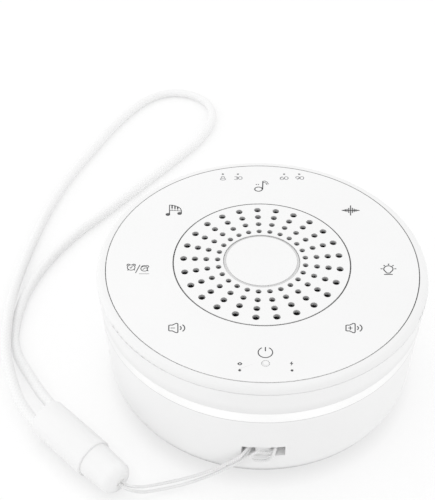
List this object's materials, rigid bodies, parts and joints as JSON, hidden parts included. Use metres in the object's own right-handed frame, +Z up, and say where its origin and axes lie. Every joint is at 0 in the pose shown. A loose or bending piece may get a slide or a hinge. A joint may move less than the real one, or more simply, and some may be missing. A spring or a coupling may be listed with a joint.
{
  "type": "white noise sound machine",
  "caption": "Flat round white noise machine with a touch panel, drilled speaker grille, night-light ring and a wrist lanyard tied in the front slot.",
  "frame": {"origin": "centre of the underside, on the table surface under the rubber feet", "axes": "+Z up; the lanyard slot and the power key face -Y, the charging socket faces +Y"},
  "size_m": [0.1385, 0.2173, 0.045],
  "materials": {
    "white_shell": "fine satin",
    "white_bezel": "satin",
    "panel_white": "satin",
    "disc_white": "satin, low step round it",
    "diffuser": "milky translucent",
    "smoked_window": "translucent",
    "pearl_lens": "pearl",
    "adhesive_foam": "matt foam",
    "dust_cloth": "woven, matt",
    "basket_steel": "satin black",
    "surround_rubber": "soft matt",
    "cone_paper": "pressed paper",
    "coil_copper": "enamelled wire",
    "spider_cloth": "resin-stiffened weave",
    "steel": "zinc plated",
    "ferrite": "matt sintered",
    "tag_board": "phenolic",
    "circuit_board": "solder mask",
    "spring_gold": "gold plated",
    "led_body": "clear with phosphor",
    "chip_black": "moulded epoxy",
    "capacitor_can": "drawn can",
    "socket_nylon": "ivory nylon",
    "cell_foil": "pouch foil",
    "wire_red": "insulation",
    "wire_grey": "insulation",
    "foot_rubber": "matt",
    "thread_nylon": "fine twist",
    "barrel_white": "satin",
    "cord_woven": "round braid"
  },
  "bodies": {
    "case": {"base_shell": "white_shell", "light_ring": "diffuser", "upper_shell": "white_shell", "top_bezel": "white_bezel", "touch_panel": "panel_white", "panel_tape": "adhesive_foam", "speaker_grille": "panel_white", "centre_disc": "disc_white", "grille_cloth": "dust_cloth", "speaker_gasket": "adhesive_foam", "speaker_basket": "basket_steel", "speaker_surround": "surround_rubber", "speaker_spider": "spider_cloth", "top_plate": "steel", "speaker_magnet": "ferrite", "pole_yoke": "steel", "terminal_strip": "tag_board", "speaker_screws": "steel", "touch_board": "circuit_board", "touch_springs": "spring_gold", "indicator_leds": "led_body", "indicator_windows": "smoked_window", "status_lens": "pearl_lens", "touch_board_screws": "steel", "led_board": "circuit_board", "night_leds": "led_body", "led_board_screws": "steel", "main_board": "circuit_board", "main_chips": "chip_black", "capacitors": "capacitor_can", "wire_sockets": "socket_nylon", "usb_socket": "steel", "main_board_screws": "steel", "battery": "cell_foil", "battery_pad": "adhesive_foam", "speaker_wires": "wire_red", "battery_wires": "wire_red", "led_wires": "wire_grey", "ribbon_cable": "wire_grey", "case_screws": "steel", "rubber_feet": "foot_rubber", "lanyard_thread": "thread_nylon", "barrel_cap": "barrel_white", "cord_barrel": "barrel_white", "wrist_cord": "cord_woven"},
    "cone": {"speaker_cone": "cone_paper", "dust_cap": "cone_paper", "voice_coil": "coil_copper"}
  },
  "joints": [
    {"name": "cone_travel", "type": "slide", "parent": "case", "child": "cone", "axis": [0, 0, 1], "range_m": [-0.001, 0.001], "stiffness_N_per_m": 1000, "deforming": ["speaker_surround", "speaker_spider"]}
  ]
}
